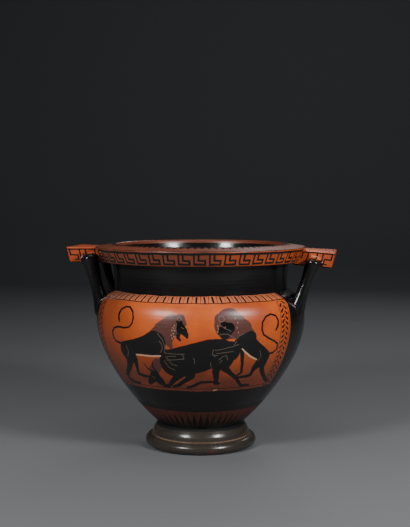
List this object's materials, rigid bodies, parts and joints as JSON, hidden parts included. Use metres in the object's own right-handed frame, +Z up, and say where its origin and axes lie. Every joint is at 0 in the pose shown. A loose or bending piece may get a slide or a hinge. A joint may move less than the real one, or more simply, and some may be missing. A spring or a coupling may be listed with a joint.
{
  "type": "greek column krater",
  "caption": "Black-figure clay column krater: wide mixing bowl with low neck, overhanging rim, column handles under flat plates, and a stepped foot.",
  "frame": {"origin": "on the ground under the centre of the foot", "axes": "+Z up the vessel's axis, -Y towards the pictured front, +X and -X towards the handles"},
  "size_m": [0.4744, 0.3728, 0.36],
  "materials": {
    "slipped_clay": "glossy black slip with reserved orange clay"
  },
  "bodies": {
    "root": {"krater": "slipped_clay"}
  },
  "joints": []
}
